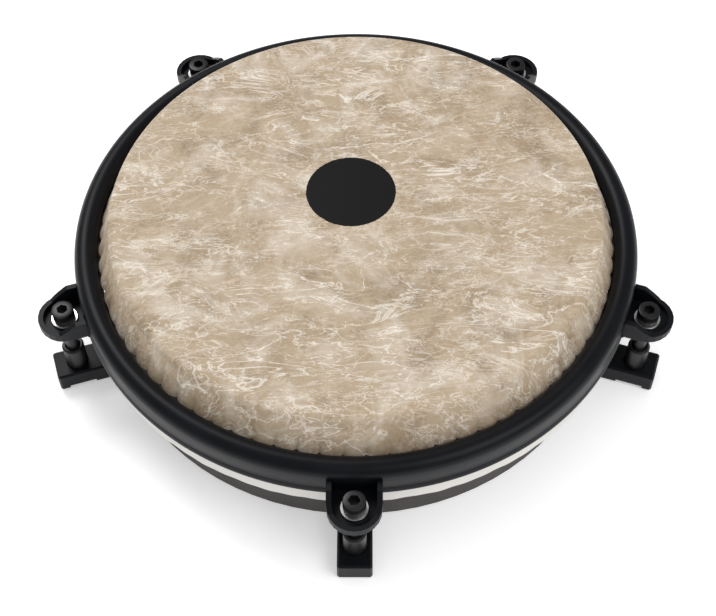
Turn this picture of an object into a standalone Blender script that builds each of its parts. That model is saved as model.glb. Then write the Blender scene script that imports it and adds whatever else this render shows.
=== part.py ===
# Shallow travel conga with one 11 3/4 inch head, five cup-shaped ears on the rim and five tension bolts.
# Metres, +Z up. The drum stands on the undersides of its lugs, and one lug points to -Y, the player's side.
import math

import bmesh
import bpy
from mathutils import Matrix

# Stations: one ear, bolt and lug at each, counted anticlockwise from the player's side
STATIONS = ("front", "right", "back_right", "back_left", "left")
FIRST_STATION_DEG = -90.0
BOLT_CIRCLE_RADIUS = 0.1831

# Gap left between pieces that touch on the real drum
SEAT_GAP = 0.0003

# Head: fibre film drawn over the shell, under the rim and down to a cut tail
HEAD_RADIUS = 0.1492
HEAD_TOP = 0.0948
HEAD_EDGE_ROUND = 0.0045
FILM = 0.0005
TAIL_LENGTH = 0.0275
TAIL_FLARE = 0.0006

# Shell: a straight skirt with a neck that narrows to the bearing edge
SHELL_RADIUS = 0.1575
SHELL_WALL = 0.006
SHELL_FOOT_CLEARANCE = 0.0015
SHELL_STRAIGHT_TOP = 0.040
NECK_MIDDLE_HEIGHT = 0.062
NECK_MIDDLE_RADIUS = 0.1523
SHELL_EDGE_SOFTENING = 0.001

# Rim: a rolled strip with a round crown, a short inner leg and a long outer wall
RIM_RADIUS = 0.172
RIM_WIDTH = 0.0138
RIM_GAUGE = 0.0026
RIM_BOTTOM = 0.0553
RIM_HEIGHT = 0.0222
RIM_INNER_LEG = 0.002

# Flesh hoop: a round bar under the inner leg of the rim
HOOP_BAR = 0.008
HOOP_OFFSET_FROM_LEG = 0.0014

# Ears: pressed cups welded to the outer wall of the rim
EAR_RADIUS = 0.0155
EAR_GAUGE = 0.003
EAR_LIP = 0.0037
EAR_TAB = 0.0112
EAR_TAB_REACH = 0.0055
EAR_SLOPE_REACH = 0.016
EAR_BOTTOM_ROUND = 0.0018
EAR_HOLE_RADIUS = 0.0045

# Tension bolts: M8 socket-head cap screws, with a plain washer under each head
BOLT_RADIUS = 0.0039
BOLT_LENGTH = 0.050
BOLT_HEAD_RADIUS = 0.0065
BOLT_HEAD_HEIGHT = 0.008
BOLT_CHAMFER = 0.0008
HEX_ACROSS_FLATS = 0.006
HEX_DEPTH = 0.0048
WASHER_RADIUS = 0.008
WASHER_HOLE_RADIUS = 0.0043
WASHER_THICKNESS = 0.0016

# Threaded barrels: turned sleeves that stand in the lugs, held down by a flange
BARREL_RADIUS = 0.0067
BARREL_BORE_RADIUS = 0.0043
BARREL_TOP = 0.0315
BARREL_CHAMFER = 0.001
BARREL_FLANGE_RADIUS = 0.0082
BARREL_FLANGE = 0.0025

# Lugs: an arm under each bolt with a back plate against the shell
LUG_WIDTH = 0.0204
LUG_ARM_HEIGHT = 0.014
LUG_REACH = 0.1972
LUG_BACK_HEIGHT = 0.0385
LUG_BACK_THICKNESS = 0.005
LUG_EDGE = 0.0012
NOTCH_LENGTH = 0.0166
NOTCH_DEPTH = 0.003

# Lug screws: two M6 button heads a lug, put in from inside the shell through a backing plate
LUG_SCREW_RADIUS = 0.0029
LUG_SCREW_LENGTH = 0.014
LUG_SCREW_HEAD_RADIUS = 0.0052
LUG_SCREW_HEAD_HEIGHT = 0.0033
LUG_SCREW_SOCKET_ACROSS_FLATS = 0.004
LUG_SCREW_SOCKET_DEPTH = 0.002
LUG_SCREW_HEIGHTS = {"lower": 0.0085, "upper": 0.0295}
SCREW_HOLE_CLEARANCE = 0.0004
PLATE_WIDTH = 0.013
PLATE_THICKNESS = 0.002
PLATE_MARGIN = 0.0065

# Sides of the faceted round pieces
RING_SIDES = 80
SMALL_SIDES = 20
CROWN_STEPS = 6

# How far a cutter runs past the piece it cuts
OVERSHOOT = 0.005

# Heights and radii that follow from the sizes above
crown_outer = RIM_WIDTH / 2
crown_radius = RIM_RADIUS - crown_outer
crown_height = RIM_BOTTOM + RIM_HEIGHT - crown_outer
rim_inner_radius = RIM_RADIUS - RIM_WIDTH
leg_bottom = crown_height - RIM_INNER_LEG
film_over_hoop = leg_bottom - SEAT_GAP
hoop_height = film_over_hoop - FILM - SEAT_GAP - HOOP_BAR / 2
hoop_radius = rim_inner_radius + RIM_GAUGE / 2 + HOOP_OFFSET_FROM_LEG
rim_wall_inside = RIM_RADIUS - RIM_GAUGE
bearing_radius = HEAD_RADIUS - FILM - SEAT_GAP
ear_floor = RIM_BOTTOM + EAR_GAUGE
washer_bottom = ear_floor + SEAT_GAP
bolt_seat = washer_bottom + WASHER_THICKNESS + SEAT_GAP
shell_inside = SHELL_RADIUS - SHELL_WALL
lug_back = SHELL_RADIUS + SEAT_GAP
notch_top = NOTCH_DEPTH
flange_seat = notch_top + BARREL_FLANGE + SEAT_GAP
plate_face = math.sqrt(shell_inside ** 2 - (PLATE_WIDTH / 2) ** 2) - SEAT_GAP * 1.5
screw_seat = plate_face - PLATE_THICKNESS - SEAT_GAP

# The drum's axis lies behind the middle of the space that the drum takes up, because one lug points forward
front_reach = max(BOLT_CIRCLE_RADIUS + EAR_RADIUS, LUG_REACH)
back_station_y = BOLT_CIRCLE_RADIUS * math.sin(math.radians(FIRST_STATION_DEG + 2 * 360 / len(STATIONS)))
back_reach = max(RIM_RADIUS, back_station_y + EAR_RADIUS)
AXIS_Y = (front_reach - back_reach) / 2


def clear_scene():
    for obj in list(bpy.data.objects):
        bpy.data.objects.remove(obj, do_unlink=True)


def make_collection(name):
    collection = bpy.data.collections.new(name)
    bpy.context.scene.collection.children.link(collection)
    return collection


def make_material(name, color, roughness, metallic=0.0):
    material = bpy.data.materials.new(name)
    material.use_nodes = True
    shader = material.node_tree.nodes["Principled BSDF"]
    shader.inputs["Base Color"].default_value = (*color, 1.0)
    shader.inputs["Roughness"].default_value = roughness
    shader.inputs["Metallic"].default_value = metallic
    material.diffuse_color = (*color, 1.0)
    return material


def add_object(name, data, collection, parent=None, material=None):
    obj = bpy.data.objects.new(name, data)
    collection.objects.link(obj)
    obj.parent = parent
    if material:
        obj.data.materials.clear()
        obj.data.materials.append(material)
    return obj


def add_empty(name, collection, parent=None, location=(0, 0, 0), turn=0.0):
    empty = add_object(name, None, collection, parent)
    empty.empty_display_size = 0.02
    empty.location = location
    empty.rotation_euler = (0, 0, turn)
    return empty


def smooth(mesh, angle_deg=35):
    mesh.shade_smooth()
    mesh.set_sharp_from_angle(angle=math.radians(angle_deg))


def arc(center, radius, start_deg, end_deg, steps):
    # Points along an arc in the radius and height plane, or in plan, both ends included
    points = []
    for i in range(steps + 1):
        angle = math.radians(start_deg + (end_deg - start_deg) * i / steps)
        points.append((center[0] + radius * math.cos(angle), center[1] + radius * math.sin(angle)))
    return points


def profile_mesh(name, points, closed):
    # An outline in the XZ plane for the Screw modifier
    mesh = bpy.data.meshes.new(name)
    edges = [(i, i + 1) for i in range(len(points) - 1)]
    if closed:
        edges.append((len(points) - 1, 0))
    mesh.from_pydata([(r, 0, z) for r, z in points], edges, [])
    return mesh


def add_screw(obj, sides):
    screw = obj.modifiers.new("turned", "SCREW")
    screw.axis = "Z"
    screw.angle = math.tau
    screw.steps = sides
    screw.render_steps = sides
    screw.use_merge_vertices = True
    screw.merge_threshold = 0.00002
    screw.use_smooth_shade = True


def finished_mesh(obj):
    # The object's shape with its modifiers worked in, and the object itself removed
    bpy.context.view_layer.update()
    evaluated = obj.evaluated_get(bpy.context.evaluated_depsgraph_get())
    mesh = bpy.data.meshes.new_from_object(evaluated)
    mesh.name = obj.name
    bpy.data.objects.remove(obj, do_unlink=True)
    return mesh


def turned(name, points, sides, collection, closed=False):
    obj = add_object(name, profile_mesh(name, points, closed), collection)
    add_screw(obj, sides)
    return obj


def block(name, low, high, collection):
    # A box between two corners
    mesh = bpy.data.meshes.new(name)
    bm = bmesh.new()
    bmesh.ops.create_cube(bm, size=1.0)
    size = [h - l for l, h in zip(low, high)]
    middle = [(h + l) / 2 for l, h in zip(low, high)]
    bmesh.ops.scale(bm, vec=size, verts=bm.verts)
    bmesh.ops.translate(bm, vec=middle, verts=bm.verts)
    bm.to_mesh(mesh)
    bm.free()
    return add_object(name, mesh, collection)


def rod(name, radius, low, high, sides, collection, place=Matrix.Identity(4)):
    # A cylinder or prism along Z from low to high, then moved by a matrix
    mesh = bpy.data.meshes.new(name)
    bm = bmesh.new()
    lift = Matrix.Translation((0, 0, (low + high) / 2))
    bmesh.ops.create_cone(bm, cap_ends=True, segments=sides, radius1=radius, radius2=radius,
                          depth=high - low, matrix=place @ lift)
    bm.to_mesh(mesh)
    bm.free()
    return add_object(name, mesh, collection)


def slab(name, outline, low, high, collection, place=Matrix.Identity(4)):
    # A flat outline with thickness along Z, made as a filled curve and then a mesh
    curve = bpy.data.curves.new(name, "CURVE")
    curve.dimensions = "2D"
    curve.fill_mode = "BOTH"
    curve.extrude = (high - low) / 2
    spline = curve.splines.new("POLY")
    spline.points.add(len(outline) - 1)
    for point, (x, y) in zip(spline.points, outline):
        point.co = (x, y, 0, 1)
    spline.use_cyclic_u = True
    mesh = finished_mesh(add_object(name, curve, collection))
    bm = bmesh.new()
    bm.from_mesh(mesh)
    bmesh.ops.remove_doubles(bm, verts=bm.verts, dist=0.00001)
    bmesh.ops.dissolve_limit(bm, angle_limit=0.001, verts=bm.verts, edges=bm.edges)
    bmesh.ops.translate(bm, vec=(0, 0, (low + high) / 2), verts=bm.verts)
    bmesh.ops.transform(bm, matrix=place, verts=bm.verts)
    bmesh.ops.recalc_face_normals(bm, faces=bm.faces)
    bm.to_mesh(mesh)
    bm.free()
    return add_object(name, mesh, collection)


def combine(target, tool, operation):
    # A Boolean whose tool stays in the cutters' collection
    tool.hide_render = True
    tool.display_type = "WIRE"
    boolean = target.modifiers.new(tool.name, "BOOLEAN")
    boolean.operation = operation
    boolean.solver = "EXACT"
    boolean.object = tool


def bevel(obj, width, segments, angle_deg=60):
    modifier = obj.modifiers.new("edges", "BEVEL")
    modifier.width = width
    modifier.segments = segments
    modifier.limit_method = "ANGLE"
    modifier.angle_limit = math.radians(angle_deg)


def along_x(x, z):
    # Turns a piece made along Z so that it runs outward along X from a point on the station's middle plane
    return Matrix.Translation((x - BOLT_CIRCLE_RADIUS, 0, z)) @ Matrix.Rotation(math.radians(90), 4, "Y")


def build_head(collection, parent, material):
    # Outer surface of the film, from the middle of the head down to the cut tail
    edge_center = (HEAD_RADIUS - HEAD_EDGE_ROUND, HEAD_TOP - HEAD_EDGE_ROUND)
    hoop_wrap = HOOP_BAR / 2 + SEAT_GAP + FILM
    tail_radius = rim_wall_inside - SEAT_GAP
    points = [(0, HEAD_TOP)]
    points += arc(edge_center, HEAD_EDGE_ROUND, 90, 0, 3)
    points += [(rim_inner_radius - SEAT_GAP, film_over_hoop + RIM_GAUGE / 2)]
    points += [(rim_inner_radius - SEAT_GAP, film_over_hoop)]
    points += arc((hoop_radius, hoop_height), hoop_wrap, 90, 15, 2)
    points += [(tail_radius - FILM, RIM_BOTTOM + 0.003)]
    points += [(tail_radius, RIM_BOTTOM)]
    points += [(tail_radius + TAIL_FLARE, film_over_hoop - TAIL_LENGTH)]
    head = turned("drumhead", points, RING_SIDES, collection)
    solidify = head.modifiers.new("film", "SOLIDIFY")
    solidify.thickness = FILM
    solidify.offset = -1
    solidify.use_even_offset = True
    head.parent = parent
    head.data.materials.append(material)
    return head


def build_hoop(collection, parent, material):
    points = arc((hoop_radius, hoop_height), HOOP_BAR / 2, 90, -225, 7)
    hoop = turned("flesh_hoop", points, RING_SIDES, collection, closed=True)
    hoop.parent = parent
    hoop.data.materials.append(material)
    return hoop


def build_rim(collection, parent, material):
    center = (crown_radius, crown_height)
    points = arc(center, crown_outer, 180, 0, CROWN_STEPS)
    points += [(RIM_RADIUS, RIM_BOTTOM)]
    points += [(rim_wall_inside, RIM_BOTTOM)]
    points += arc(center, crown_outer - RIM_GAUGE, 0, 180, CROWN_STEPS // 2)
    points += [(rim_inner_radius + RIM_GAUGE, leg_bottom)]
    points += [(rim_inner_radius, leg_bottom)]
    rim = turned("rim", points, RING_SIDES, collection, closed=True)
    rim.parent = parent
    rim.data.materials.append(material)
    return rim


def build_shell(collection, cutters, parent, material):
    # Outer side from the bearing edge down to the foot, then up the inside
    edge_center = (HEAD_RADIUS - HEAD_EDGE_ROUND, HEAD_TOP - HEAD_EDGE_ROUND)
    edge_round = HEAD_EDGE_ROUND - FILM - SEAT_GAP
    foot = SHELL_FOOT_CLEARANCE
    soft = SHELL_EDGE_SOFTENING
    points = arc(edge_center, edge_round, 90, 0, 3)
    points += [(NECK_MIDDLE_RADIUS, NECK_MIDDLE_HEIGHT)]
    points += [(SHELL_RADIUS, SHELL_STRAIGHT_TOP)]
    points += [(SHELL_RADIUS, foot + soft), (SHELL_RADIUS - soft, foot)]
    points += [(shell_inside + soft, foot), (shell_inside, foot + soft)]
    points += [(shell_inside, SHELL_STRAIGHT_TOP)]
    points += [(NECK_MIDDLE_RADIUS - SHELL_WALL, NECK_MIDDLE_HEIGHT)]
    points += [(bearing_radius - SHELL_WALL, edge_center[1])]
    shell = turned("shell", points, RING_SIDES, collection, closed=True)
    hole = LUG_SCREW_RADIUS + SCREW_HOLE_CLEARANCE
    for i, name in enumerate(STATIONS):
        for level, height in LUG_SCREW_HEIGHTS.items():
            place = station_matrix(i) @ along_x(0, height)
            drill = rod(f"screw_hole_{name}_{level}", hole, screw_seat, lug_back + SHELL_WALL,
                        SMALL_SIDES // 2, cutters, place)
            drill.parent = parent
            combine(shell, drill, "DIFFERENCE")
    shell.parent = parent
    shell.data.materials.append(material)
    return shell


def station_matrix(index):
    # From a station's own frame, on its bolt axis with +X outward, to the drum's frame
    turn = math.radians(FIRST_STATION_DEG + 360 / len(STATIONS) * index)
    return Matrix.Rotation(turn, 4, "Z") @ Matrix.Translation((BOLT_CIRCLE_RADIUS, 0, 0))


def ear_mesh(collection, cutters):
    # A U-shaped cup: round outside the bolt, open towards the rim, with tall tabs beside the rim
    inner_end = rim_wall_inside - BOLT_CIRCLE_RADIUS
    wall_top = RIM_BOTTOM + EAR_TAB + EAR_GAUGE
    plan = arc((0, 0), EAR_RADIUS, -90, 90, 12) + [(inner_end, EAR_RADIUS), (inner_end, -EAR_RADIUS)]
    ear = slab("ear", plan, RIM_BOTTOM, wall_top + EAR_BOTTOM_ROUND, collection)
    bevel(ear, EAR_BOTTOM_ROUND, 2)
    rim_face = RIM_RADIUS + SEAT_GAP - BOLT_CIRCLE_RADIUS
    lip = ear_floor + EAR_LIP
    tab = ear_floor + EAR_TAB
    side = [(inner_end - 0.01, RIM_BOTTOM - 0.01), (EAR_RADIUS + 0.01, RIM_BOTTOM - 0.01),
            (EAR_RADIUS + 0.01, lip), (rim_face + EAR_SLOPE_REACH, lip),
            (rim_face + EAR_TAB_REACH, tab), (inner_end - 0.01, tab)]
    upright = Matrix.Rotation(math.radians(90), 4, "X")
    half = EAR_RADIUS + 0.005
    combine(ear, slab("ear_side_shape", side, -half, half, cutters, upright), "INTERSECT")
    inner = EAR_RADIUS - EAR_GAUGE
    pocket = arc((0, 0), inner, -90, 90, 12) + [(inner_end - 0.005, inner), (inner_end - 0.005, -inner)]
    combine(ear, slab("ear_pocket", pocket, ear_floor, wall_top + OVERSHOOT, cutters), "DIFFERENCE")
    below = RIM_BOTTOM - OVERSHOOT
    combine(ear, rod("ear_bolt_hole", EAR_HOLE_RADIUS, below, ear_floor + OVERSHOOT, SMALL_SIDES, cutters), "DIFFERENCE")
    to_axis = Matrix.Translation((-BOLT_CIRCLE_RADIUS, 0, 0))
    rim_space = rod("ear_rim_space", RIM_RADIUS + SEAT_GAP, below, wall_top + OVERSHOOT, RING_SIDES, cutters, to_axis)
    combine(ear, rim_space, "DIFFERENCE")
    return finished_mesh(ear)


def bolt_mesh(collection, cutters):
    # Origin at the underside of the head, on the bolt's own axis
    points = [(0, BOLT_HEAD_HEIGHT), (BOLT_HEAD_RADIUS - BOLT_CHAMFER, BOLT_HEAD_HEIGHT)]
    points += [(BOLT_HEAD_RADIUS, BOLT_HEAD_HEIGHT - BOLT_CHAMFER), (BOLT_HEAD_RADIUS, 0)]
    points += [(BOLT_RADIUS, 0), (BOLT_RADIUS, BOLT_CHAMFER - BOLT_LENGTH)]
    points += [(BOLT_RADIUS - BOLT_CHAMFER, -BOLT_LENGTH), (0, -BOLT_LENGTH)]
    bolt = turned("bolt", points, SMALL_SIDES, collection)
    hex_radius = HEX_ACROSS_FLATS / 2 / math.cos(math.radians(30))
    socket = rod("bolt_socket", hex_radius, BOLT_HEAD_HEIGHT - HEX_DEPTH, BOLT_HEAD_HEIGHT + OVERSHOOT, 6, cutters)
    combine(bolt, socket, "DIFFERENCE")
    return finished_mesh(bolt)


def washer_mesh(collection):
    points = [(WASHER_HOLE_RADIUS, WASHER_THICKNESS), (WASHER_RADIUS, WASHER_THICKNESS)]
    points += [(WASHER_RADIUS, 0), (WASHER_HOLE_RADIUS, 0)]
    return finished_mesh(turned("washer", points, SMALL_SIDES, collection, closed=True))


def barrel_mesh(collection):
    top = BARREL_TOP
    cut = BARREL_CHAMFER
    flange_top = notch_top + BARREL_FLANGE
    points = [(BARREL_BORE_RADIUS + cut / 2, top), (BARREL_RADIUS - cut, top), (BARREL_RADIUS, top - cut)]
    points += [(BARREL_RADIUS, flange_top), (BARREL_FLANGE_RADIUS, flange_top)]
    points += [(BARREL_FLANGE_RADIUS, notch_top), (BARREL_BORE_RADIUS, notch_top)]
    points += [(BARREL_BORE_RADIUS, top - cut / 2)]
    return finished_mesh(turned("threaded_barrel", points, SMALL_SIDES, collection, closed=True))


def lug_mesh(collection, cutters):
    # The arm and the back plate, joined, then notched, bored for the barrel and tapped for its screws
    half = LUG_WIDTH / 2
    back = lug_back - BOLT_CIRCLE_RADIUS
    tip = LUG_REACH - BOLT_CIRCLE_RADIUS
    arm = block("lug", (back, -half, 0), (tip, half, LUG_ARM_HEIGHT), collection)
    bevel(arm, LUG_EDGE, 1)
    plate_low = LUG_EDGE
    plate_front = back + LUG_BACK_THICKNESS
    plate = block("lug_back_plate", (back, -half, plate_low), (plate_front, half, LUG_BACK_HEIGHT), cutters)
    bevel(plate, LUG_EDGE, 1)
    combine(arm, plate, "UNION")
    reach = NOTCH_LENGTH / 2
    side = half + OVERSHOOT
    notch = block("lug_notch", (-reach, -side, -OVERSHOOT), (reach, side, notch_top), cutters)
    combine(arm, notch, "DIFFERENCE")
    bore = BARREL_RADIUS + SEAT_GAP
    combine(arm, rod("lug_bore", bore, -OVERSHOOT, LUG_ARM_HEIGHT + OVERSHOOT, SMALL_SIDES, cutters), "DIFFERENCE")
    seat = BARREL_FLANGE_RADIUS + SEAT_GAP
    combine(arm, rod("lug_flange_seat", seat, -OVERSHOOT, flange_seat, SMALL_SIDES, cutters), "DIFFERENCE")
    hole = LUG_SCREW_RADIUS + SCREW_HOLE_CLEARANCE
    depth = screw_seat + LUG_SCREW_LENGTH + 0.001 - lug_back
    for level, height in LUG_SCREW_HEIGHTS.items():
        place = along_x(lug_back, height)
        drill = rod(f"lug_screw_hole_{level}", hole, -OVERSHOOT, depth, SMALL_SIDES // 2, cutters, place)
        combine(arm, drill, "DIFFERENCE")
    return finished_mesh(arm)


def plate_mesh(collection, cutters):
    # Steel strip inside the shell that spreads the load of the two lug screws
    low = LUG_SCREW_HEIGHTS["lower"] - PLATE_MARGIN
    high = LUG_SCREW_HEIGHTS["upper"] + PLATE_MARGIN
    face = plate_face - BOLT_CIRCLE_RADIUS
    half = PLATE_WIDTH / 2
    plate = block("backing_plate", (face - PLATE_THICKNESS, -half, low), (face, half, high), collection)
    hole = LUG_SCREW_RADIUS + SCREW_HOLE_CLEARANCE
    for level, height in LUG_SCREW_HEIGHTS.items():
        place = along_x(plate_face, height)
        drill = rod(f"plate_hole_{level}", hole, -OVERSHOOT, OVERSHOOT, SMALL_SIDES // 2, cutters, place)
        combine(plate, drill, "DIFFERENCE")
    return finished_mesh(plate)


def lug_screw_mesh(collection, cutters):
    # Button-head screw with its origin under the head. Z runs from the head into the lug
    head = LUG_SCREW_HEAD_RADIUS
    high = LUG_SCREW_HEAD_HEIGHT
    chamfer = LUG_SCREW_RADIUS / 6
    points = [(0, LUG_SCREW_LENGTH), (LUG_SCREW_RADIUS - chamfer, LUG_SCREW_LENGTH)]
    points += [(LUG_SCREW_RADIUS, LUG_SCREW_LENGTH - chamfer), (LUG_SCREW_RADIUS, 0), (head, 0)]
    points += [(head * 0.9, -high * 0.6), (head * 0.6, -high), (0, -high)]
    screw = turned("lug_screw", points, SMALL_SIDES // 2, collection)
    hex_radius = LUG_SCREW_SOCKET_ACROSS_FLATS / 2 / math.cos(math.radians(30))
    socket = rod("lug_screw_socket", hex_radius, -high - OVERSHOOT, LUG_SCREW_SOCKET_DEPTH - high, 6, cutters)
    combine(screw, socket, "DIFFERENCE")
    return finished_mesh(screw)


def main():
    clear_scene()
    drum = make_collection("conga")
    cutters = make_collection("cutters")

    film = make_material("fibre_film", (0.56, 0.47, 0.33), 0.55)
    coat = make_material("black_powder_coat", (0.018, 0.020, 0.024), 0.42)
    oxide = make_material("black_oxide_steel", (0.016, 0.017, 0.018), 0.36, 0.6)
    zinc = make_material("zinc_plate", (0.78, 0.79, 0.82), 0.3, 1.0)
    shell_black = make_material("moulded_shell", (0.060, 0.053, 0.052), 0.6)
    hoop_steel = make_material("hoop_steel", (0.45, 0.45, 0.44), 0.45, 1.0)

    axis = add_empty("drum_axis", drum, location=(0, AXIS_Y, 0))
    lift = add_empty("head_lift", drum, axis)

    build_shell(drum, cutters, axis, shell_black)
    build_head(drum, lift, film)
    build_hoop(drum, lift, hoop_steel)
    build_rim(drum, lift, coat)

    ear = ear_mesh(drum, cutters)
    bolt = bolt_mesh(drum, cutters)
    washer = washer_mesh(drum)
    barrel = barrel_mesh(drum)
    lug = lug_mesh(drum, cutters)
    plate = plate_mesh(drum, cutters)
    screw = lug_screw_mesh(drum, cutters)
    for mesh in (ear, bolt, washer, barrel, lug, plate, screw):
        smooth(mesh)

    for i, name in enumerate(STATIONS):
        place = station_matrix(i)
        turn = place.to_euler().z
        fixed = add_empty(f"station_{name}", drum, axis, place.to_translation(), turn)
        moving = add_empty(f"lifting_station_{name}", drum, lift, place.to_translation(), turn)
        add_object(f"lug_{name}", lug, drum, fixed, coat)
        add_object(f"threaded_barrel_{name}", barrel, drum, fixed, oxide)
        add_object(f"backing_plate_{name}", plate, drum, fixed, zinc)
        for level, height in LUG_SCREW_HEIGHTS.items():
            screw_object = add_object(f"lug_screw_{name}_{level}", screw, drum, fixed, oxide)
            screw_object.matrix_local = along_x(screw_seat, height)
        add_object(f"ear_{name}", ear, drum, moving, coat)
        washer_object = add_object(f"washer_{name}", washer, drum, moving, zinc)
        washer_object.location = (0, 0, washer_bottom)
        bolt_object = add_object(f"bolt_{name}", bolt, drum, moving, oxide)
        bolt_object.location = (0, 0, bolt_seat)


main()
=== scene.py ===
# Travel conga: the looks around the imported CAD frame. Metres, +Z up, -Y towards the player.
import math

import bmesh
import bpy
from mathutils import Matrix, Vector


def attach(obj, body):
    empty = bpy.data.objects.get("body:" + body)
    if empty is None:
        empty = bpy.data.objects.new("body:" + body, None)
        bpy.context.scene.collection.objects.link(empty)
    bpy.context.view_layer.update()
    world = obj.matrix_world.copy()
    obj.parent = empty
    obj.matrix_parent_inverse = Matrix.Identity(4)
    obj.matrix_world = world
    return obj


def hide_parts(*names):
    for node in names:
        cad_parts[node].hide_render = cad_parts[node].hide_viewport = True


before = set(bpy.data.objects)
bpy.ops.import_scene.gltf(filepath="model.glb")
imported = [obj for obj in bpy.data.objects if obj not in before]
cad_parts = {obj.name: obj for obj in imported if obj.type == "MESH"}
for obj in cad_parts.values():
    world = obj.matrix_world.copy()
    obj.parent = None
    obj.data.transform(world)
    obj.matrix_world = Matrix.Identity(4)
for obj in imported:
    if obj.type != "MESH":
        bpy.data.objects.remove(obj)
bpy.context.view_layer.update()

# The stations are counted from the player's side. The drum's axis is a little behind the footprint's middle
stations = ("front", "right", "back_right", "back_left", "left")
axisY = 0.0133
boltCircle = 0.1831
stationStep = math.tau / len(stations)
firstStation = math.radians(-90)
turning = {"mergeDistance": 0.00001, "smoothAngle": math.radians(35)}


def deselectAll():
    bpy.ops.object.select_all(action="DESELECT")


def useOnly(obj):
    deselectAll()
    obj.select_set(True)
    bpy.context.view_layer.objects.active = obj


def linkedObject(name, data):
    obj = bpy.data.objects.new(name, data)
    bpy.context.scene.collection.objects.link(obj)
    return obj


def profileObject(name, points, closed):
    # An outline at +X in the XZ plane, run down its outer side, for the Screw modifier
    mesh = bpy.data.meshes.new(name)
    edges = [(i, i + 1) for i in range(len(points) - 1)]
    if closed:
        edges.append((len(points) - 1, 0))
    mesh.from_pydata([(r, 0, z) for r, z in points], edges, [])
    return linkedObject(name, mesh)


def turn(name, points, steps, closed=False):
    obj = profileObject(name, points, closed)
    useOnly(obj)
    screw = obj.modifiers.new("turned", "SCREW")
    screw.axis = "Z"
    screw.angle = math.tau
    screw.steps = steps
    screw.render_steps = steps
    screw.use_merge_vertices = True
    screw.merge_threshold = turning["mergeDistance"]
    bpy.ops.object.modifier_apply(modifier=screw.name)
    bpy.ops.object.mode_set(mode="EDIT")
    bpy.ops.mesh.select_all(action="SELECT")
    bpy.ops.mesh.normals_make_consistent(inside=False)
    bpy.ops.object.mode_set(mode="OBJECT")
    bpy.ops.object.shade_smooth_by_angle(angle=turning["smoothAngle"])
    return obj


def arc(center, radius, startDeg, endDeg, steps):
    points = []
    for i in range(steps + 1):
        angle = math.radians(startDeg + (endDeg - startDeg) * i / steps)
        points.append((center[0] + radius * math.cos(angle), center[1] + radius * math.sin(angle)))
    return points


def pushOut(vertex, distance):
    # Moves a point away from the Z axis
    radius = math.hypot(vertex.co.x, vertex.co.y)
    vertex.co.x *= (radius + distance) / radius
    vertex.co.y *= (radius + distance) / radius


def toAxis(obj):
    obj.data.transform(Matrix.Translation((0, axisY, 0)))


def placeAtStation(obj, index):
    turned = Matrix.Rotation(firstStation + stationStep * index, 4, "Z")
    obj.data.transform(Matrix.Translation((0, axisY, 0)) @ turned @ Matrix.Translation((boltCircle, 0, 0)))


def copyOf(source, name):
    return linkedObject(name, source.data.copy())


def dress(obj, material):
    obj.data.materials.clear()
    obj.data.materials.append(material)


def newMaterial(name):
    material = bpy.data.materials.new(name)
    material.use_nodes = True
    return material, material.node_tree, material.node_tree.nodes["Principled BSDF"]


def feed(tree, value, socket):
    # Links another socket, or sets a plain number
    if isinstance(value, bpy.types.NodeSocket):
        tree.links.new(value, socket)
    else:
        socket.default_value = value


def noiseNode(tree, coords, scale, detail, roughness=0.5, distortion=0.0):
    noise = tree.nodes.new("ShaderNodeTexNoise")
    feed(tree, coords, noise.inputs["Vector"])
    feed(tree, scale, noise.inputs["Scale"])
    feed(tree, detail, noise.inputs["Detail"])
    feed(tree, roughness, noise.inputs["Roughness"])
    feed(tree, distortion, noise.inputs["Distortion"])
    return noise.outputs["Fac"]


def mathNode(tree, operation, a, b):
    node = tree.nodes.new("ShaderNodeMath")
    node.operation = operation
    feed(tree, a, node.inputs[0])
    feed(tree, b, node.inputs[1])
    return node.outputs["Value"]


def rampNode(tree, value, stops):
    ramp = tree.nodes.new("ShaderNodeValToRGB")
    elements = ramp.color_ramp.elements
    while len(elements) < len(stops):
        elements.new(0.5)
    for element, (position, color) in zip(elements, stops):
        element.position = position
        element.color = (*color, 1.0)
    tree.links.new(value, ramp.inputs["Fac"])
    return ramp.outputs["Color"]


def layColor(tree, mask, under, over):
    # Lays a plain colour over another by a mask
    mix = tree.nodes.new("ShaderNodeMix")
    mix.data_type = "RGBA"
    tree.links.new(mask, mix.inputs["Factor"])
    underSocket, overSocket = [socket for socket in mix.inputs if socket.type == "RGBA"]
    tree.links.new(under, underSocket)
    overSocket.default_value = (*over, 1.0)
    return [socket for socket in mix.outputs if socket.type == "RGBA"][0]


def bumpNode(tree, shader, height, strength, distance):
    bump = tree.nodes.new("ShaderNodeBump")
    bump.inputs["Strength"].default_value = strength
    bump.inputs["Distance"].default_value = distance
    tree.links.new(height, bump.inputs["Height"])
    tree.links.new(bump.outputs["Normal"], shader.inputs["Normal"])


noiseWords = ("Scale", "Detail", "Roughness", "Distortion")


def makeSpeckleGroup():
    # Broad clouds and a fine grain, which every finish on the drum uses with its own values
    group = bpy.data.node_groups.new("speckle", "ShaderNodeTree")
    group.interface.new_socket("Vector", in_out="INPUT", socket_type="NodeSocketVector")
    start = group.nodes.new("NodeGroupInput")
    end = group.nodes.new("NodeGroupOutput")
    for layer in ("Clouds", "Grain"):
        for word in noiseWords:
            group.interface.new_socket(f"{layer} {word}", in_out="INPUT", socket_type="NodeSocketFloat")
        group.interface.new_socket(layer, in_out="OUTPUT", socket_type="NodeSocketFloat")
        values = [start.outputs[f"{layer} {word}"] for word in noiseWords]
        group.links.new(noiseNode(group, start.outputs["Vector"], *values), end.inputs[layer])
    return group


speckleGroup = makeSpeckleGroup()


def objectCoords(tree):
    return tree.nodes.new("ShaderNodeTexCoord").outputs["Object"]


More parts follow.
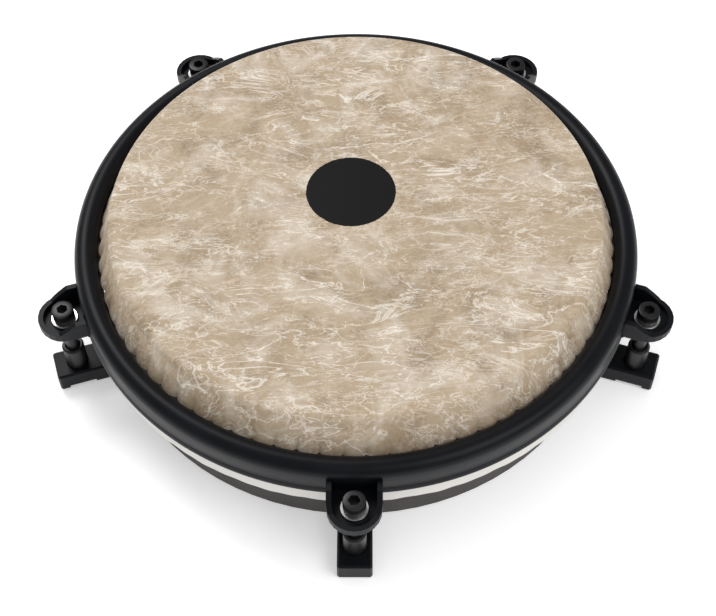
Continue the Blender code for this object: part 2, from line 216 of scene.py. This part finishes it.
def addSpeckle(tree, coords, clouds, grain):
    # The values of clouds and of grain are scale, detail, roughness and distortion
    node = tree.nodes.new("ShaderNodeGroup")
    node.node_tree = speckleGroup
    tree.links.new(coords, node.inputs["Vector"])
    for layer, values in (("Clouds", clouds), ("Grain", grain)):
        for word, value in zip(noiseWords, values):
            node.inputs[f"{layer} {word}"].default_value = value
    return node.outputs["Clouds"], node.outputs["Grain"]


filmLook = {
    "patches": (38.0, 5.0, 0.62, 0.6), "fibres": (210.0, 6.0, 0.7, 2.2), "patchShare": 0.6,
    "tans": ((0.36, (0.27, 0.20, 0.13)), (0.50, (0.395, 0.305, 0.208)), (0.66, (0.46, 0.37, 0.265))),
    "fibre": (0.90, 0.85, 0.77), "tail": (0.66, 0.64, 0.61), "ink": (0.003, 0.003, 0.003),
    "tailHeight": 0.0600, "roughness": 0.52, "specular": 0.18, "bump": (0.25, 0.0004),
}
strand = {
    "layers": ((17.0, 20), (24.0, 75), (34.0, 130), (46.0, 170), (64.0, 50)), "noise": (8.0, 0.55, 0.9),
    "width": 0.014, "stretch": 2.9, "strength": 0.62,
    "breakScale": 0.55, "breakNoise": (3.0, 0.5), "breakLevel": 0.42, "breakGain": 5.0,
}
haze = {"noise": (21.0, 6.0, 0.62, 1.4), "level": 0.47, "gain": 1.5, "most": 0.3}
dot = {"center": (-0.0029, 0.0126), "radius": 0.02725, "ragged": 0.0012}


def fibreLayer(tree, coords, scale, degrees):
    # Thin pale strands: the middle contour of a stretched noise, broken up by a second noise
    mapping = tree.nodes.new("ShaderNodeMapping")
    mapping.inputs["Rotation"].default_value = (0, 0, math.radians(degrees))
    mapping.inputs["Scale"].default_value = (1, strand["stretch"], 1)
    tree.links.new(coords, mapping.inputs["Vector"])
    turned = mapping.outputs["Vector"]
    noise = noiseNode(tree, turned, scale, *strand["noise"])
    away = mathNode(tree, "ABSOLUTE", mathNode(tree, "SUBTRACT", noise, 0.5), 0.0)
    line = mathNode(tree, "SUBTRACT", 1.0, mathNode(tree, "DIVIDE", away, strand["width"]))
    breaks = noiseNode(tree, turned, scale * strand["breakScale"], *strand["breakNoise"])
    above = mathNode(tree, "SUBTRACT", breaks, strand["breakLevel"])
    broken = mathNode(tree, "MULTIPLY", above, strand["breakGain"])
    clamped = mathNode(tree, "MINIMUM", mathNode(tree, "MAXIMUM", broken, 0.0), 1.0)
    return mathNode(tree, "MULTIPLY", mathNode(tree, "MAXIMUM", line, 0.0), clamped)


def paleMask(tree, coords):
    # Every layer of strands, with a thin haze added to them
    strands = 0.0
    for scale, degrees in strand["layers"]:
        strands = mathNode(tree, "MAXIMUM", strands, fibreLayer(tree, coords, scale, degrees))
    strands = mathNode(tree, "MULTIPLY", strands, strand["strength"])
    cloud = mathNode(tree, "SUBTRACT", noiseNode(tree, coords, *haze["noise"]), haze["level"])
    lifted = mathNode(tree, "MULTIPLY", mathNode(tree, "MAXIMUM", cloud, 0.0), haze["gain"])
    thin = mathNode(tree, "MINIMUM", lifted, haze["most"])
    return mathNode(tree, "MINIMUM", mathNode(tree, "ADD", strands, thin), 1.0)


def dotMask(tree, coords, fine):
    # A round print near the middle of the head, with a slightly ragged edge
    flat = tree.nodes.new("ShaderNodeVectorMath")
    flat.operation = "MULTIPLY"
    flat.inputs[1].default_value = (1, 1, 0)
    tree.links.new(coords, flat.inputs[0])
    away = tree.nodes.new("ShaderNodeVectorMath")
    away.operation = "DISTANCE"
    dotX, dotY = dot["center"]
    away.inputs[1].default_value = (dotX, axisY + dotY, 0)
    tree.links.new(flat.outputs["Vector"], away.inputs[0])
    ragged = mathNode(tree, "MULTIPLY", mathNode(tree, "SUBTRACT", fine, 0.5), dot["ragged"])
    reach = mathNode(tree, "ADD", away.outputs["Value"], ragged)
    return mathNode(tree, "LESS_THAN", reach, dot["radius"])


def makeFilm():
    # Tan fibre film with pale strands, a plain black dot, and a paler cut tail outside the rim
    material, tree, shader = newMaterial("film")
    coords = objectCoords(tree)
    patches, fine = addSpeckle(tree, coords, filmLook["patches"], filmLook["fibres"])
    share = filmLook["patchShare"]
    broad = mathNode(tree, "MULTIPLY", patches, share)
    blend = mathNode(tree, "ADD", broad, mathNode(tree, "MULTIPLY", fine, 1 - share))
    tan = rampNode(tree, blend, filmLook["tans"])
    fibrous = layColor(tree, paleMask(tree, coords), tan, filmLook["fibre"])
    printed = layColor(tree, dotMask(tree, coords, fine), fibrous, filmLook["ink"])
    split = tree.nodes.new("ShaderNodeSeparateXYZ")
    tree.links.new(coords, split.inputs["Vector"])
    low = mathNode(tree, "LESS_THAN", split.outputs["Z"], filmLook["tailHeight"])
    tree.links.new(layColor(tree, low, printed, filmLook["tail"]), shader.inputs["Base Color"])
    shader.inputs["Roughness"].default_value = filmLook["roughness"]
    shader.inputs["Specular IOR Level"].default_value = filmLook["specular"]
    bumpNode(tree, shader, blend, *filmLook["bump"])
    return material


coatLook = {
    "clouds": (26.0, 4.0, 0.5, 0.0), "grain": (1500.0, 3.0, 0.6, 0.0),
    "colors": ((0.35, (0.0030, 0.0036, 0.0052)), (0.7, (0.0050, 0.0056, 0.0080))),
    "roughness": 0.40, "swing": 0.14, "specular": 0.17, "bump": (0.22, 0.0002),
}


def makeCoat():
    # Black powder coat, whose gloss changes with the clouds
    material, tree, shader = newMaterial("powderCoat")
    clouds, grain = addSpeckle(tree, objectCoords(tree), coatLook["clouds"], coatLook["grain"])
    tree.links.new(rampNode(tree, clouds, coatLook["colors"]), shader.inputs["Base Color"])
    swing = mathNode(tree, "MULTIPLY", clouds, coatLook["swing"])
    rough = mathNode(tree, "ADD", swing, coatLook["roughness"] - coatLook["swing"] / 2)
    tree.links.new(rough, shader.inputs["Roughness"])
    shader.inputs["Specular IOR Level"].default_value = coatLook["specular"]
    bumpNode(tree, shader, grain, *coatLook["bump"])
    return material


metalLook = {
    "clouds": (140.0, 5.0, 0.6, 0.0), "grain": (2.0, 0.5, 0.0), "stops": (0.3, 0.7), "swing": 0.2,
    "bump": (0.12, 0.0001),
}


def makeMetal(name, dark, light, roughness, metallic, grainScale):
    # A metal finish between two close greys, whose gloss changes with the grain
    material, tree, shader = newMaterial(name)
    grainValues = (grainScale, *metalLook["grain"])
    clouds, grain = addSpeckle(tree, objectCoords(tree), metalLook["clouds"], grainValues)
    colors = rampNode(tree, clouds, tuple(zip(metalLook["stops"], (dark, light))))
    tree.links.new(colors, shader.inputs["Base Color"])
    swing = mathNode(tree, "MULTIPLY", grain, metalLook["swing"])
    rough = mathNode(tree, "ADD", swing, roughness - metalLook["swing"] / 2)
    tree.links.new(rough, shader.inputs["Roughness"])
    shader.inputs["Metallic"].default_value = metallic
    bumpNode(tree, shader, grain, *metalLook["bump"])
    return material


plasticLook = {
    "clouds": (30.0, 4.0, 0.5, 0.0), "grain": (900.0, 3.0, 0.5, 0.0),
    "colors": ((0.3, (0.050, 0.043, 0.043)), (0.7, (0.068, 0.059, 0.059))),
    "roughness": 0.62, "specular": 0.3, "bump": (0.2, 0.0002),
}


def makeShellPlastic():
    material, tree, shader = newMaterial("shellPlastic")
    clouds, grain = addSpeckle(tree, objectCoords(tree), plasticLook["clouds"], plasticLook["grain"])
    tree.links.new(rampNode(tree, clouds, plasticLook["colors"]), shader.inputs["Base Color"])
    shader.inputs["Roughness"].default_value = plasticLook["roughness"]
    shader.inputs["Specular IOR Level"].default_value = plasticLook["specular"]
    bumpNode(tree, shader, grain, *plasticLook["bump"])
    return material


film = makeFilm()
coat = makeCoat()
oxide = makeMetal("blackOxide", (0.006, 0.006, 0.007), (0.012, 0.012, 0.014), 0.38, 0.2, 1200.0)
zinc = makeMetal("zincPlate", (0.72, 0.72, 0.72), (0.86, 0.86, 0.87), 0.30, 1.0, 900.0)
hoopSteel = makeMetal("hoopSteel", (0.38, 0.38, 0.38), (0.50, 0.50, 0.50), 0.42, 1.0, 700.0)
shellPlastic = makeShellPlastic()
print("materials made")

nodeLooks = {"shell": shellPlastic, "flesh_hoop": hoopSteel}
for station in stations:
    nodeLooks[f"ear_{station}"] = coat
    nodeLooks[f"lug_{station}"] = coat
    nodeLooks[f"backing_plate_{station}"] = zinc
    nodeLooks[f"lug_screw_{station}_lower"] = oxide
    nodeLooks[f"lug_screw_{station}_upper"] = oxide
for nodeName, material in nodeLooks.items():
    dress(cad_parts[nodeName], material)
print("frame dressed")

head = {
    "top": 0.0948, "edgeCenter": (0.1447, 0.0903), "edgeRound": 0.0045, "edgeEndDeg": 8, "edgeSteps": 8,
    "collarTop": (0.1492, 0.0895), "collarBottom": (0.1576, 0.0700), "collarRows": 14, "discRings": 24,
    "steps": 912,
}
pleat = {
    "count": 76, "depth": 0.0016, "start": 0.2, "sharpness": 0.6,
    "wander": 0.35, "wanderWaves": (7, 17), "wanderPhase": 1.3,
}


def makeHead():
    # The playing surface, its rounded edge and the collar, gathered into small pleats at the rim
    edgeR = head["edgeCenter"][0]
    points = [(edgeR * i / head["discRings"], head["top"]) for i in range(head["discRings"])]
    points += arc(head["edgeCenter"], head["edgeRound"], 90, head["edgeEndDeg"], head["edgeSteps"])
    topR, topZ = head["collarTop"]
    lowR, lowZ = head["collarBottom"]
    for i in range(1, head["collarRows"] + 1):
        t = i / head["collarRows"]
        points.append((topR + (lowR - topR) * t, topZ + (lowZ - topZ) * t))
    obj = turn("headFilm", points, head["steps"])
    waveA, waveB = pleat["wanderWaves"]
    for vertex in obj.data.vertices:
        t = (topZ - vertex.co.z) / (topZ - lowZ)
        if t > pleat["start"]:
            angle = math.atan2(vertex.co.y, vertex.co.x)
            fold = abs(math.cos(angle * pleat["count"] / 2))
            waves = math.sin(angle * waveA + pleat["wanderPhase"]) * math.sin(angle * waveB)
            depth = pleat["depth"] * (1 + pleat["wander"] * waves)
            grown = (t - pleat["start"]) / (1 - pleat["start"])
            pushOut(vertex, -depth * (1 - fold ** pleat["sharpness"]) * grown)
    toAxis(obj)
    dress(obj, film)
    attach(obj, "head_assembly")
    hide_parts("drumhead")


tail = {
    "topRadius": 0.1688, "bottomRadius": 0.1697, "thickness": 0.0005, "top": 0.0585, "bottom": 0.0408,
    "rows": 10, "steps": 720, "notch": 0.0012, "notchWaves": (23, 5, 11), "notchSway": 2, "notchPhase": 0.7,
    "ripple": 0.00022,
}


def makeTail():
    # The cut end of the film, which hangs below the rim with a ragged lower edge
    outer = []
    for i in range(tail["rows"] + 1):
        t = i / tail["rows"]
        radius = tail["topRadius"] + (tail["bottomRadius"] - tail["topRadius"]) * t
        outer.append((radius, tail["top"] + (tail["bottom"] - tail["top"]) * t))
    inner = [(r - tail["thickness"], z) for r, z in reversed(outer)]
    obj = turn("headTail", outer + inner, tail["steps"], closed=True)
    waveA, waveB, waveC = tail["notchWaves"]
    for vertex in obj.data.vertices:
        t = (tail["top"] - vertex.co.z) / (tail["top"] - tail["bottom"])
        angle = math.atan2(vertex.co.y, vertex.co.x)
        swayed = math.sin(angle * waveA + tail["notchSway"] * math.sin(angle * waveB))
        wave = 0.5 + 0.5 * swayed * math.sin(angle * waveC + tail["notchPhase"])
        vertex.co.z += tail["notch"] * wave * t * t
        pushOut(vertex, -tail["ripple"] * t * (0.5 + 0.5 * math.cos(angle * pleat["count"])))
    toAxis(obj)
    dress(obj, film)
    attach(obj, "head_assembly")


rim = {
    "crownCenter": (0.1651, 0.0706), "outer": 0.0069, "gauge": 0.0026, "legBottom": 0.0686,
    "grooveTop": 0.0603, "grooveMiddle": 0.0597, "grooveDepth": 0.0003,
    "beadTop": 0.0592, "beadShoulder": 0.0590, "beadFull": 0.0584, "beadOut": 0.0004,
    "bottom": 0.0553, "soft": 0.0004, "outerSteps": 28, "innerSteps": 20, "steps": 288,
}


def makeRim():
    # Rolled strip with a round crown, a shallow groove and a small bead along its lower edge
    center = rim["crownCenter"]
    wall = center[0] + rim["outer"]
    inside = wall - rim["gauge"]
    beadOut = wall + rim["beadOut"]
    leg = center[0] - rim["outer"]
    soft = rim["soft"]
    points = arc(center, rim["outer"], 180, 0, rim["outerSteps"])
    points += [(wall, rim["grooveTop"]), (wall - rim["grooveDepth"], rim["grooveMiddle"])]
    points += [(wall, rim["beadTop"]), (beadOut - soft, rim["beadShoulder"]), (beadOut, rim["beadFull"])]
    points += [(beadOut, rim["bottom"] + soft), (beadOut - soft, rim["bottom"])]
    points += [(inside + soft, rim["bottom"]), (inside, rim["bottom"] + soft)]
    points += arc(center, rim["outer"] - rim["gauge"], 0, 180, rim["innerSteps"])
    points += [(leg + rim["gauge"], rim["legBottom"]), (leg, rim["legBottom"])]
    obj = turn("rolledRim", points, rim["steps"], closed=True)
    toAxis(obj)
    dress(obj, coat)
    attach(obj, "head_assembly")
    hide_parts("rim")


makeHead()
makeTail()
makeRim()
print("head and rim made")

bolt = {
    "seat": 0.0605, "headHeight": 0.008, "headRadius": 0.0065, "shank": 0.0039, "length": 0.050,
    "topBevel": 0.00112, "edgeBevel": 0.00028, "sideBevel": 0.00084, "footBevel": 0.00035, "tipBevel": 0.0007,
    "thread": 0.00125, "threadTurns": 17, "threadDepth": 0.0004, "threadRoot": 0.35, "threadCrest": 0.75,
    "knurl": 0.00022, "knurlFrom": 0.0064, "flats": 0.006, "socketDepth": 0.0048,
    "steps": 96, "smoothAngle": math.radians(28),
}


def boltOutline():
    high = bolt["headHeight"]
    radius = bolt["headRadius"]
    shank = bolt["shank"]
    tip = -bolt["length"]
    points = [(0, high), (radius - bolt["topBevel"], high)]
    points += [(radius - bolt["edgeBevel"], high - bolt["edgeBevel"]), (radius, high - bolt["sideBevel"])]
    points += [(radius, bolt["sideBevel"]), (radius - bolt["footBevel"], 0), (shank, 0)]
    points.append((shank, tip + bolt["threadTurns"] * bolt["thread"]))
    for i in range(bolt["threadTurns"], 0, -1):
        height = tip + i * bolt["thread"]
        points.append((shank - bolt["threadDepth"], height - bolt["thread"] * bolt["threadRoot"]))
        points.append((shank, height - bolt["thread"] * bolt["threadCrest"]))
    return points + [(shank - bolt["tipBevel"], tip), (0, tip)]


def makeBolt():
    # Socket-head cap screw: straight knurling round the head and a hexagon socket
    obj = turn("boltModel", boltOutline(), bolt["steps"])
    step = math.tau / bolt["steps"]
    for vertex in obj.data.vertices:
        around = round(math.atan2(vertex.co.y, vertex.co.x) / step)
        if around % 2 and math.hypot(vertex.co.x, vertex.co.y) > bolt["knurlFrom"]:
            pushOut(vertex, -bolt["knurl"])
    hexRadius = bolt["flats"] / 2 / math.cos(math.radians(30))
    deselectAll()
    bpy.ops.mesh.primitive_cylinder_add(
        vertices=6, radius=hexRadius, depth=bolt["socketDepth"] * 2, location=(0, 0, bolt["headHeight"]))
    cutter = bpy.context.object
    useOnly(obj)
    socket = obj.modifiers.new("socket", "BOOLEAN")
    socket.operation = "DIFFERENCE"
    socket.object = cutter
    bpy.ops.object.modifier_apply(modifier=socket.name)
    bpy.data.objects.remove(cutter, do_unlink=True)
    bpy.ops.object.shade_smooth_by_angle(angle=bolt["smoothAngle"])
    obj.data.transform(Matrix.Translation((0, 0, bolt["seat"])))
    return obj


washer = {"bottom": 0.0586, "thickness": 0.0016, "radius": 0.008, "hole": 0.0043, "soft": 0.0003, "steps": 64}


def makeWasher():
    low = washer["bottom"]
    high = low + washer["thickness"]
    soft = washer["soft"]
    points = [(washer["hole"], high), (washer["radius"] - soft, high), (washer["radius"], high - soft)]
    points += [(washer["radius"], low + soft), (washer["radius"] - soft, low), (washer["hole"], low)]
    return turn("washerModel", points, washer["steps"], closed=True)


barrel = {
    "bottom": 0.003, "top": 0.0315, "radius": 0.0067, "bore": 0.0043, "chamfer": 0.001,
    "flange": 0.0082, "flangeTop": 0.0055, "steps": 56,
}


def makeBarrel():
    top = barrel["top"]
    cut = barrel["chamfer"]
    bore = barrel["bore"]
    points = [(bore + cut / 2, top), (barrel["radius"] - cut, top), (barrel["radius"], top - cut)]
    points += [(barrel["radius"], barrel["flangeTop"]), (barrel["flange"], barrel["flangeTop"])]
    points += [(barrel["flange"], barrel["bottom"]), (bore, barrel["bottom"]), (bore, top - cut / 2)]
    return turn("barrelModel", points, barrel["steps"], closed=True)


hardware = (
    (makeBolt(), "bolt", "bolt_{}", oxide, "black_oxide"),
    (makeWasher(), "washer", "head_assembly", zinc, "zinc"),
    (makeBarrel(), "threaded_barrel", "shell", oxide, "black_oxide"),
)
for model, nodeStem, bodyName, material, slotName in hardware:
    for index, station in enumerate(stations):
        piece = copyOf(model, f"{nodeStem}Piece_{station}")
        placeAtStation(piece, index)
        dress(piece, material)
        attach(piece, bodyName.format(station))
        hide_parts(f"{nodeStem}_{station}")
    bpy.data.objects.remove(model, do_unlink=True)
print("bolts, washers and barrels made")

weld = {
    "radius": 0.0011, "rimRadius": 0.1722, "bottom": 0.0556, "top": 0.0665, "sideAngle": math.radians(4.816),
    "beads": 15, "segments": 12, "rings": 8,
}


def makeWeld(station, index):
    # Two upright rows of overlapping weld beads, where the sides of a cup meet the rim
    mesh = bpy.data.meshes.new(f"weldPiece_{station}")
    obj = linkedObject(f"weldPiece_{station}", mesh)
    bm = bmesh.new()
    for side in (-1, 1):
        angle = firstStation + stationStep * index + side * weld["sideAngle"]
        x = weld["rimRadius"] * math.cos(angle)
        y = axisY + weld["rimRadius"] * math.sin(angle)
        for i in range(weld["beads"]):
            height = weld["bottom"] + (weld["top"] - weld["bottom"]) * i / (weld["beads"] - 1)
            bmesh.ops.create_uvsphere(
                bm, u_segments=weld["segments"], v_segments=weld["rings"], radius=weld["radius"],
                matrix=Matrix.Translation((x, y, height)))
    bm.to_mesh(mesh)
    bm.free()
    mesh.shade_smooth()
    dress(obj, coat)
    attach(obj, "head_assembly")


for index, station in enumerate(stations):
    makeWeld(station, index)
print("welds made")

view = {
    "elevation": math.radians(54.43), "roll": math.radians(0.36), "turn": math.radians(0.51),
    "shift": (-0.00132, 0.04522), "distance": 0.8525, "targetHeight": 0.0685, "lens": 69.52, "sensor": 36,
}


def placeCamera():
    # The photograph's view, about the drum's axis at the height of the bolt heads
    sinE = math.sin(view["elevation"])
    cosE = math.cos(view["elevation"])
    right = Vector((1, 0, 0))
    up = Vector((0, sinE, cosE))
    forward = Vector((0, cosE, -sinE))
    sinR = math.sin(view["roll"])
    cosR = math.cos(view["roll"])
    rolledRight = cosR * right - sinR * up
    rolledUp = sinR * right + cosR * up
    shiftX, shiftY = view["shift"]
    pose = Matrix((rolledRight, rolledUp, -forward)).transposed().to_4x4()
    pose.translation = -shiftX * rolledRight - shiftY * rolledUp - view["distance"] * forward
    data = bpy.data.cameras.new("photoCamera")
    data.lens = view["lens"]
    data.sensor_width = view["sensor"]
    camera = linkedObject("photoCamera", data)
    lift = Matrix.Translation((0, axisY, view["targetHeight"]))
    camera.matrix_world = lift @ Matrix.Rotation(view["turn"], 4, "Z") @ pose
    bpy.context.scene.camera = camera


studio = {
    "floorSize": 8, "floorColor": (0.93, 0.93, 0.93, 1), "floorRoughness": 0.9, "floorGlow": 0.3,
    "keyLamp": ((-0.7, 0.9, 1.5), 0.9, 14), "fillLamp": ((0.9, -0.7, 1.3), 1.0, 8), "aimHeight": 0.05,
    "room": (0.75, 0.75, 0.75), "mirroredRoom": (0.3, 0.3, 0.3),
}


def addLamp(name):
    # The values of a lamp are its place, its size and its power
    place, size, power = studio[name]
    data = bpy.data.lights.new(name, "AREA")
    data.shape = "DISK"
    data.size = size
    data.energy = power
    lamp = linkedObject(name, data)
    aim = Vector((0, axisY, studio["aimHeight"])) - Vector(place)
    lamp.matrix_world = Matrix.Translation(place) @ aim.to_track_quat("-Z", "Y").to_matrix().to_4x4()


def makeFloor():
    deselectAll()
    bpy.ops.mesh.primitive_plane_add(size=studio["floorSize"], location=(0, 0, 0))
    floor = bpy.context.object
    floor.name = "studioFloor"
    material, tree, shader = newMaterial("studioFloor")
    shader.inputs["Base Color"].default_value = studio["floorColor"]
    shader.inputs["Roughness"].default_value = studio["floorRoughness"]
    shader.inputs["Specular IOR Level"].default_value = 0.0
    shader.inputs["Emission Color"].default_value = (1, 1, 1, 1)
    shader.inputs["Emission Strength"].default_value = studio["floorGlow"]
    dress(floor, material)


def makeWorld():
    # A pale room. The black coat mirrors a darker room than the one that lights the drum
    world = bpy.data.worlds.new("studio")
    world.use_nodes = True
    tree = world.node_tree
    background = tree.nodes["Background"]
    background.inputs["Color"].default_value = (1, 1, 1, 1)
    glossy = tree.nodes.new("ShaderNodeLightPath").outputs["Is Glossy Ray"]
    strength = rampNode(tree, glossy, ((0.0, studio["room"]), (1.0, studio["mirroredRoom"])))
    tree.links.new(strength, background.inputs["Strength"])
    bpy.context.scene.world = world
    bpy.context.scene.view_settings.view_transform = "Standard"


placeCamera()
makeFloor()
addLamp("keyLamp")
addLamp("fillLamp")
makeWorld()
print("camera, floor and lamps placed")
